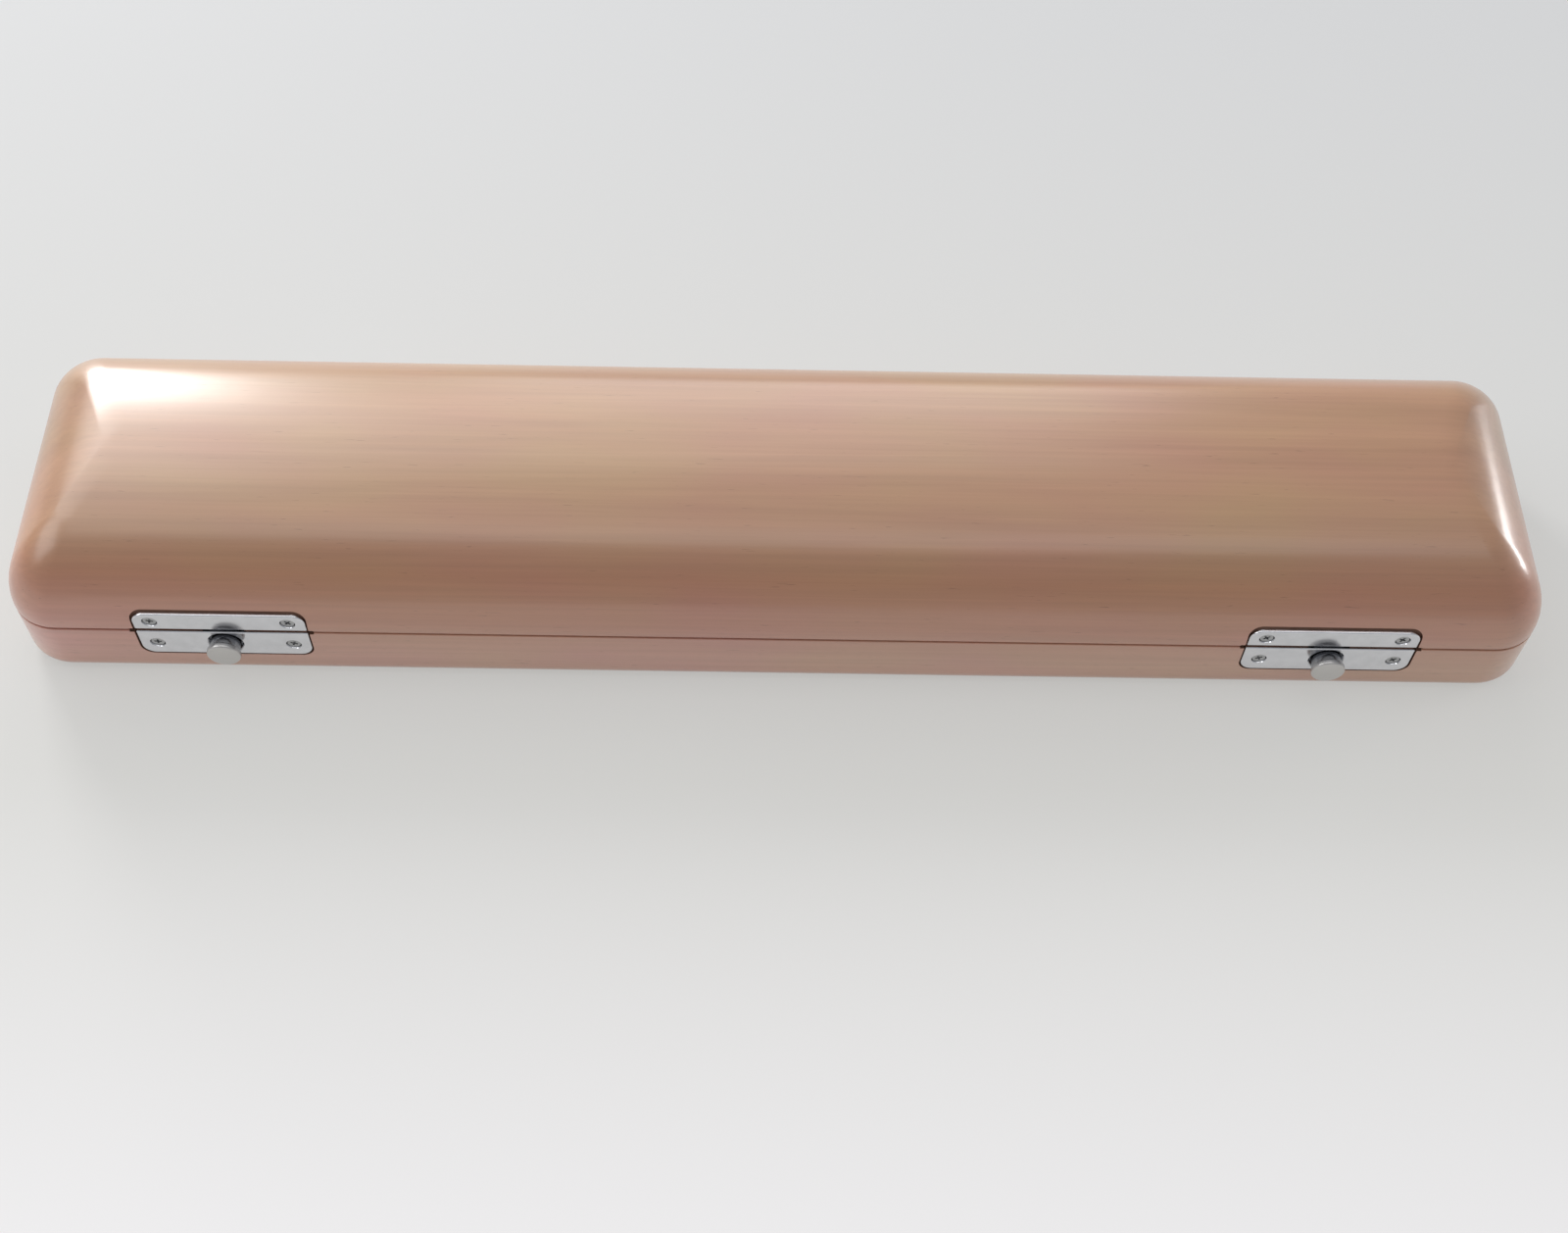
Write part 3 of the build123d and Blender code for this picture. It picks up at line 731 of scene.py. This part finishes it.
# ---- latch plates and knobs ---------------------------------------------------------------------
def turned_piece(name, profile, place):
    """A turned piece from (radius, height) points, the first and the last of them on its axis.

    The axis lies along Y, with height 0 at place and the greater heights towards -Y.
    """
    bm = bmesh.new()
    turns = [2 * pi * step / LATHE_STEPS for step in range(LATHE_STEPS)]
    rows = [[bm.verts.new((radius * cos(turn), radius * sin(turn), height)) for turn in turns]
            for radius, height in profile[1:-1]]
    join_rows(bm, rows)
    for row, height in ((rows[0], profile[0][1]), (rows[-1], profile[-1][1])):
        pole = bm.verts.new((0, 0, height))
        for index, vert in enumerate(row):
            bm.faces.new((vert, row[(index + 1) % LATHE_STEPS], pole))
    piece = new_object(name, bm)
    piece.data.transform(Matrix.Translation(place) @ Matrix.Rotation(pi / 2, 4, "X"))
    return piece


def dimple_cutter(place, mouth, seat, depth):
    """A cone that opens towards -Y from one width to another, with a straight hole behind it."""
    return turned_piece("dimple", [
        (0, CUTTER_REACH), (mouth / 2 + CUTTER_REACH, CUTTER_REACH), (mouth / 2, 0),
        (seat / 2, -depth), (seat / 2, -DRILL_REACH), (0, -DRILL_REACH)], place)


def plate_sections(low, high, radii):
    """Outlines of a plate from its rolled front edge back to its wooden seat."""
    sections = []
    for step in range(ROLL_STEPS + 1):
        turn = pi / 2 * step / ROLL_STEPS
        inset = PLATE_ROLL * (1 - sin(turn))
        rounded = [max(radius - inset, 0) for radius in radii]
        outline = tab_outline(low.x + inset, high.x - inset, low.z + inset, high.z - inset, rounded)
        sections.append((low.y + PLATE_ROLL * (1 - cos(turn)), outline))
    sections.append((high.y, tab_outline(low.x, high.x, low.z, high.z, radii)))
    return sections


def screw_spots(node, face):
    """Where a node's two screws enter the plate whose face is at Y = face, from the node's box."""
    low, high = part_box(node)
    half = (high.z - low.z) / 2
    z = (high.z + low.z) / 2
    return [Vector((low.x + half, face, z)), Vector((high.x - half, face, z))]


def screw_dimples(node, face):
    """Cutters for the countersunk holes of a node's two screws."""
    return [dimple_cutter(spot, DIMPLE_MOUTH, DIMPLE_SEAT, DIMPLE_DEPTH)
            for spot in screw_spots(node, face)]


def make_plates(side):
    """Both plates of a latch: the lower one with the button's hole, the upper one plain."""
    low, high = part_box(side + "_latch_base_plate")
    high.z -= SEAM_TRIM
    radii = (PLATE_CORNER, PLATE_CORNER, PLATE_SMALL_CORNER, PLATE_SMALL_CORNER)
    lower = tab_solid(side + "_lower_latch_plate", plate_sections(low, high, radii))
    knob_low, knob_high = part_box(side + "_latch_button")
    knob_at = (knob_low + knob_high) / 2
    cutters = screw_dimples(side + "_latch_base_screws", low.y)
    bore_at = Vector((knob_at.x, low.y, knob_at.z))
    bore_mouth = BUTTON_BORE + 2 * BORE_BREAK
    cutters.append(dimple_cutter(bore_at, bore_mouth, BUTTON_BORE, BORE_BREAK))
    cut(lower, cutters)
    smooth(lower)
    dress(lower, plate_nickel, "base", [side + "_latch_base_plate"])

    low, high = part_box(side + "_latch_lid_plate")
    low.z += SEAM_TRIM
    radii = (PLATE_SMALL_CORNER, PLATE_SMALL_CORNER, PLATE_CORNER, PLATE_CORNER)
    upper = tab_solid(side + "_upper_latch_plate", plate_sections(low, high, radii))
    cut(upper, screw_dimples(side + "_latch_lid_screws", low.y))
    smooth(upper)
    dress(upper, plate_nickel, "lid", [side + "_latch_lid_plate"])


def make_knob(side):
    """Turned knob: a straight neck, a wider head with a soft edge, and a shallow domed end.

    Its rivet end reaches back to the bolt.
    """
    low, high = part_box(side + "_latch_button")
    head = (high.x - low.x) / 2
    neck = NECK_DIAMETER / 2
    rivet = RIVET_DIAMETER / 2
    length = high.y - low.y
    shoulder = -length + RIVET_LENGTH
    profile = [(0, -length), (rivet, -length), (rivet, shoulder), (neck, shoulder)]
    profile += [(neck, -KNOB_HEAD_LENGTH - (head - neck)), (head, -KNOB_HEAD_LENGTH)]
    for step in range(KNOB_ROLL_STEPS + 1):
        turn = pi / 2 * step / KNOB_ROLL_STEPS
        profile.append((head - KNOB_ROLL * (1 - cos(turn)),
                        -KNOB_DOME - KNOB_ROLL * (1 - sin(turn))))
    rim = profile[-1][0]
    for step in range(1, DOME_STEPS + 1):
        share = 1 - step / DOME_STEPS
        profile.append((rim * share, -KNOB_DOME * share ** 2))
    place = Vector(((low.x + high.x) / 2, low.y, (low.z + high.z) / 2))
    piece = turned_piece(side + "_knob", profile, place)
    smooth(piece)
    dress(piece, knob_nickel_painted_shade, side + "_button", [side + "_latch_button"])


for side in SIDES:
    make_plates(side)
    make_knob(side)


# ---- screws, by geometry nodes ------------------------------------------------------------------
SCREW_SIZES = {
    "Head diameter": 3.6 * MM,
    "Shank diameter": 1.9 * MM,
    "Length": 5.6 * MM,
    "Cone length": 0.9 * MM,
    "Recess width": 0.55 * MM,
    "Recess length": 2.0 * MM,
    "Recess depth": 0.6 * MM,
    "Sink": LATCH_SINK,
}
HEAD_SIDES = 48
SHANK_SIDES = 24
# What turns the screws at random. A body's hinge screws take the seed after its latch screws'.
SCREW_SEEDS = {"base": 7, "lid": 4}


def screw_tree():
    """Countersunk screws with a cross recess, one at each point, their heads towards Facing."""
    tree = bpy.data.node_groups.new("countersunk_screws", "GeometryNodeTree")
    tree.interface.new_socket("Places", in_out="INPUT", socket_type="NodeSocketGeometry")
    others = [("Facing", "NodeSocketVector", (0, -1, 0)),
              ("Metal", "NodeSocketMaterial", screw_steel),
              ("Seed", "NodeSocketInt", SCREW_SEEDS["base"])]
    sizes = [(name, "NodeSocketFloat", value) for name, value in SCREW_SIZES.items()]
    for name, kind, value in sizes + others:
        socket = tree.interface.new_socket(name, in_out="INPUT", socket_type=kind)
        socket.default_value = value
    tree.interface.new_socket("Screws", in_out="OUTPUT", socket_type="NodeSocketGeometry")
    given = add(tree, "NodeGroupInput").outputs

    # The head, a cone, and the shank under it.
    head = add(tree, "ShaderNodeMath", {
        0: given["Head diameter"], 1: 0.5}, operation="MULTIPLY").outputs[0]
    shank = add(tree, "ShaderNodeMath", {
        0: given["Shank diameter"], 1: 0.5}, operation="MULTIPLY").outputs[0]
    cone = add(tree, "GeometryNodeMeshCone", {
        "Vertices": HEAD_SIDES, "Radius Top": head, "Radius Bottom": shank,
        "Depth": given["Cone length"]})
    cone_down = add(tree, "ShaderNodeMath", {
        0: given["Cone length"], 1: -1.0}, operation="MULTIPLY").outputs[0]
    cone_place = add(tree, "ShaderNodeCombineXYZ", {"Z": cone_down}).outputs[0]
    head_part = add(tree, "GeometryNodeTransform", {
        "Geometry": cone.outputs["Mesh"], "Translation": cone_place})
    stem = add(tree, "GeometryNodeMeshCylinder", {
        "Vertices": SHANK_SIDES, "Radius": shank, "Depth": given["Length"]})
    stem_down = add(tree, "ShaderNodeMath", {
        0: given["Length"], 1: -0.5, 2: cone_down}, operation="MULTIPLY_ADD")
    stem_place = add(tree, "ShaderNodeCombineXYZ", {"Z": stem_down.outputs[0]}).outputs[0]
    stem_part = add(tree, "GeometryNodeTransform", {
        "Geometry": stem.outputs["Mesh"], "Translation": stem_place})

    # The recess, two crossed bars whose lower half cuts into the head.
    deep = add(tree, "ShaderNodeMath", {
        0: given["Recess depth"], 1: 2.0}, operation="MULTIPLY").outputs[0]
    one_way = add(tree, "ShaderNodeCombineXYZ", {
        "X": given["Recess length"], "Y": given["Recess width"], "Z": deep}).outputs[0]
    other_way = add(tree, "ShaderNodeCombineXYZ", {
        "X": given["Recess width"], "Y": given["Recess length"], "Z": deep}).outputs[0]
    first = add(tree, "GeometryNodeMeshCube", {"Size": one_way}).outputs["Mesh"]
    second = add(tree, "GeometryNodeMeshCube", {"Size": other_way}).outputs["Mesh"]
    recessed = add(tree, "GeometryNodeMeshBoolean", {
        "Mesh 1": head_part.outputs[0]}, operation="DIFFERENCE", solver="EXACT")
    tree.links.new(first, recessed.inputs["Mesh 2"])
    tree.links.new(second, recessed.inputs["Mesh 2"])
    whole = add(tree, "GeometryNodeJoinGeometry")
    tree.links.new(recessed.outputs["Mesh"], whole.inputs[0])
    tree.links.new(stem_part.outputs[0], whole.inputs[0])

    # Sunk into the plate, stood on each point, and turned at random as a hand leaves them.
    sink = add(tree, "ShaderNodeMath", {
        0: given["Sink"], 1: -1.0}, operation="MULTIPLY").outputs[0]
    sunk_place = add(tree, "ShaderNodeCombineXYZ", {"Z": sink}).outputs[0]
    sunk = add(tree, "GeometryNodeTransform", {
        "Geometry": whole.outputs[0], "Translation": sunk_place})
    aim = add(tree, "FunctionNodeAlignRotationToVector", {"Vector": given["Facing"]}, axis="Z")
    spread = add(tree, "FunctionNodeRandomValue", {
        2: 0.0, 3: 2 * pi, "Seed": given["Seed"]}, data_type="FLOAT")
    stand = add(tree, "GeometryNodeInstanceOnPoints", {
        "Points": given["Places"], "Instance": sunk.outputs[0], "Rotation": aim.outputs[0]})
    spin = add(tree, "ShaderNodeCombineXYZ", {"Z": spread.outputs[1]}).outputs[0]
    turned = add(tree, "GeometryNodeRotateInstances", {
        "Instances": stand.outputs[0], "Rotation": spin, "Local Space": True})
    real = add(tree, "GeometryNodeRealizeInstances", {"Geometry": turned.outputs[0]})
    coated = add(tree, "GeometryNodeSetMaterial", {
        "Geometry": real.outputs[0], "Material": given["Metal"]})
    add(tree, "NodeGroupOutput", {0: coated.outputs[0]})
    return tree


def set_input(modifier, name, value):
    """Set a geometry nodes input by its socket's identifier."""
    for item in modifier.node_group.interface.items_tree:
        if item.name == name and item.in_out == "INPUT":
            modifier[item.identifier] = value


def make_screws(name, body, nodes, face, facing, sink, seed):
    """One body's screws of one kind, as one piece: they stand for the CAD's nodes of screws."""
    bm = bmesh.new()
    for node in nodes:
        for spot in screw_spots(node, face):
            bm.verts.new(spot)
    piece = new_object(name, bm)
    modifier = piece.modifiers.new("screws", "NODES")
    modifier.node_group = countersunk_screws
    set_input(modifier, "Facing", facing)
    set_input(modifier, "Sink", sink)
    set_input(modifier, "Seed", seed)
    settle(piece)
    piece.data.set_sharp_from_angle(angle=SHARP_ANGLE)
    dress(piece, screw_steel, body, nodes)


countersunk_screws = screw_tree()
for body, seed in SCREW_SEEDS.items():
    nodes = [side + "_latch_" + body + "_screws" for side in SIDES]
    make_screws(body + "_latch_screws", body, nodes, -HALF_WIDTH, (0, -1, 0), LATCH_SINK, seed)
    nodes = [side + "_hinge_" + body + "_screws" for side in SIDES]
    make_screws(body + "_hinge_screws", body, nodes, LEAF_FACE, (0, 1, 0), HINGE_SINK, seed + 1)


# ---- metal pieces of the CAD that stay ----------------------------------------------------------
STAYING_METAL = {
    "_latch_bolt": dulled_nickel,
    "_latch_guide_posts": satin_nickel,
    "_latch_spring": spring_steel,
    "_hinge_base_leaf": satin_nickel,
    "_hinge_lid_leaf": satin_nickel,
    "_hinge_pin": polished_nickel,
}
for side in SIDES:
    for ending, metal in STAYING_METAL.items():
        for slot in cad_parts[side + ending].material_slots:
            slot.material = metal


# ---- velvet -------------------------------------------------------------------------------------
VELVET_VOXEL = 1.3 * MM
VELVET_SMOOTH_TURNS = 6
VELVET_SMOOTH_SHARE = 0.5


def make_velvet_piece(node, name, body):
    """The moulded form under velvet: a copy of the solid, its edges softened as cloth does it."""
    bm = bmesh.new()
    bm.from_mesh(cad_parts[node].data)
    bmesh.ops.remove_doubles(bm, verts=bm.verts, dist=NODE_WELD)
    piece = new_object(name, bm)
    remesh = piece.modifiers.new("remesh", "REMESH")
    remesh.mode = "VOXEL"
    remesh.voxel_size = VELVET_VOXEL
    soften = piece.modifiers.new("soften", "SMOOTH")
    soften.factor = VELVET_SMOOTH_SHARE
    soften.iterations = VELVET_SMOOTH_TURNS
    settle(piece)
    piece.data.polygons.foreach_set("use_smooth", [True] * len(piece.data.polygons))
    dress(piece, velvet, body, [node])


make_velvet_piece("base_cradle", "velvet_cradle", "base")
make_velvet_piece("lid_lining", "velvet_lid_lining", "lid")


# ---- floor, lamps and room ----------------------------------------------------------------------
FLOOR_SIZE = 6.0
# The floor's tone is painted light: darker behind the case and lighter in front of it, between
# these two places in Y.
FLOOR_PAINTED_LIGHT_FAR_Y = 240.0 * MM
FLOOR_PAINTED_LIGHT_NEAR_Y = -200.0 * MM
FLOOR_PAINTED_LIGHT_MIDDLE = 0.72
# How much of the floor that is seen is its painted pale tone, the rest being lit and shaded.
FLOOR_PALE_SHARE = 0.68
ROOM_LIGHT = 0.46
LAMP_AIM_HEIGHT = 40.0 * MM
# A lamp's name; degrees to the right of straight behind the case, and up; distance from the point
# it aims at, and that point's X; width and height; watts. The lengths are in metres.
LAMPS = (
    ("window", -27.7, 21.5, 1.12, -0.15, 0.32, 0.53, 11.0),
    ("curtain", 2.0, 26.0, 1.2, 0.0, 0.6, 0.5, 2.1),
    ("sky", -5.0, 48.0, 1.3, -0.1, 1.0, 0.5, 1.9),
    ("left_wall", -46.0, 42.0, 1.2, -0.15, 0.5, 0.9, 2.5),
    ("low_strip", 67.0, 7.5, 1.0, 0.2, 0.38, 0.1, 3.4),
    ("left_side", -92.0, 40.0, 1.2, -0.1, 0.8, 0.6, 3.0),
    ("ceiling", 0.0, 88.0, 1.3, 0.0, 1.4, 0.6, 2.7),
)


def make_floor():
    """A pale matt table top. Seen directly or mirrored, part of it is a pale tone with painted
    light, darker behind the case and lighter in front.

    That keeps the case's shadow on it light. It lights the case as a plain matt surface does.
    """
    bm = bmesh.new()
    bmesh.ops.create_grid(bm, x_segments=1, y_segments=1, size=FLOOR_SIZE / 2)
    floor = new_object("floor", bm)
    material, tree = new_material("pale_table")
    matt = add(tree, "ShaderNodeBsdfDiffuse", {"Color": paint("#e6e5e3")})
    place = add(tree, "ShaderNodeTexCoord").outputs["Object"]
    depth = add(tree, "ShaderNodeSeparateXYZ", {"Vector": place}).outputs["Y"]
    painted_light_nearness = add(tree, "ShaderNodeMapRange", {
        "Value": depth, "From Min": FLOOR_PAINTED_LIGHT_FAR_Y, "From Max": FLOOR_PAINTED_LIGHT_NEAR_Y})
    # Painted light: the seen tone darkens behind the case and lightens in front of it.
    tone = add(tree, "ShaderNodeValToRGB", {"Fac": painted_light_nearness.outputs[0]})
    tone.color_ramp.elements[0].color = paint("#c1c3c6")
    tone.color_ramp.elements[1].color = paint("#efeef0")
    tone.color_ramp.elements.new(FLOOR_PAINTED_LIGHT_MIDDLE).color = paint("#d2d2cf")
    pale = add(tree, "ShaderNodeEmission", {"Color": tone.outputs["Color"], "Strength": 1.0})
    ray = add(tree, "ShaderNodeLightPath")
    seen = add(tree, "ShaderNodeMath", {
        0: ray.outputs["Is Camera Ray"], 1: ray.outputs["Is Glossy Ray"]}, operation="MAXIMUM")
    shown = add(tree, "ShaderNodeMath", {
        0: seen.outputs[0], 1: ray.outputs["Is Transmission Ray"]}, operation="MAXIMUM")
    share = add(tree, "ShaderNodeMath", {
        0: shown.outputs[0], 1: FLOOR_PALE_SHARE}, operation="MULTIPLY")
    mixed = add(tree, "ShaderNodeMixShader", {
        0: share.outputs[0], 1: matt.outputs[0], 2: pale.outputs[0]})
    finish_material(tree, mixed)
    floor.data.materials.append(material)


def area_lamp(name, turn, rise, distance, aim_x, width, height, power):
    """A rectangular lamp that faces the case."""
    data = bpy.data.lights.new(name, "AREA")
    data.shape = "RECTANGLE"
    data.size = width
    data.size_y = height
    data.energy = power
    level, upward = radians(turn), radians(rise)
    outward = Vector((cos(upward) * sin(level), cos(upward) * cos(level), sin(upward)))
    lamp = bpy.data.objects.new(name, data)
    lamp.location = Vector((aim_x, 0, LAMP_AIM_HEIGHT)) + distance * outward
    lamp.rotation_euler = (-outward).to_track_quat("-Z", "Y").to_euler()
    bpy.context.scene.collection.objects.link(lamp)


def make_world():
    """The even light of a pale room."""
    world = bpy.data.worlds.new("room")
    bpy.context.scene.world = world
    world.use_nodes = True
    tree = world.node_tree
    tree.nodes.clear()
    back = add(tree, "ShaderNodeBackground", {"Color": paint("#f2f3f5"), "Strength": ROOM_LIGHT})
    add(tree, "ShaderNodeOutputWorld", {"Surface": back.outputs[0]})


make_floor()
for lamp in LAMPS:
    area_lamp(*lamp)
make_world()
bpy.context.scene.view_settings.view_transform = "Standard"
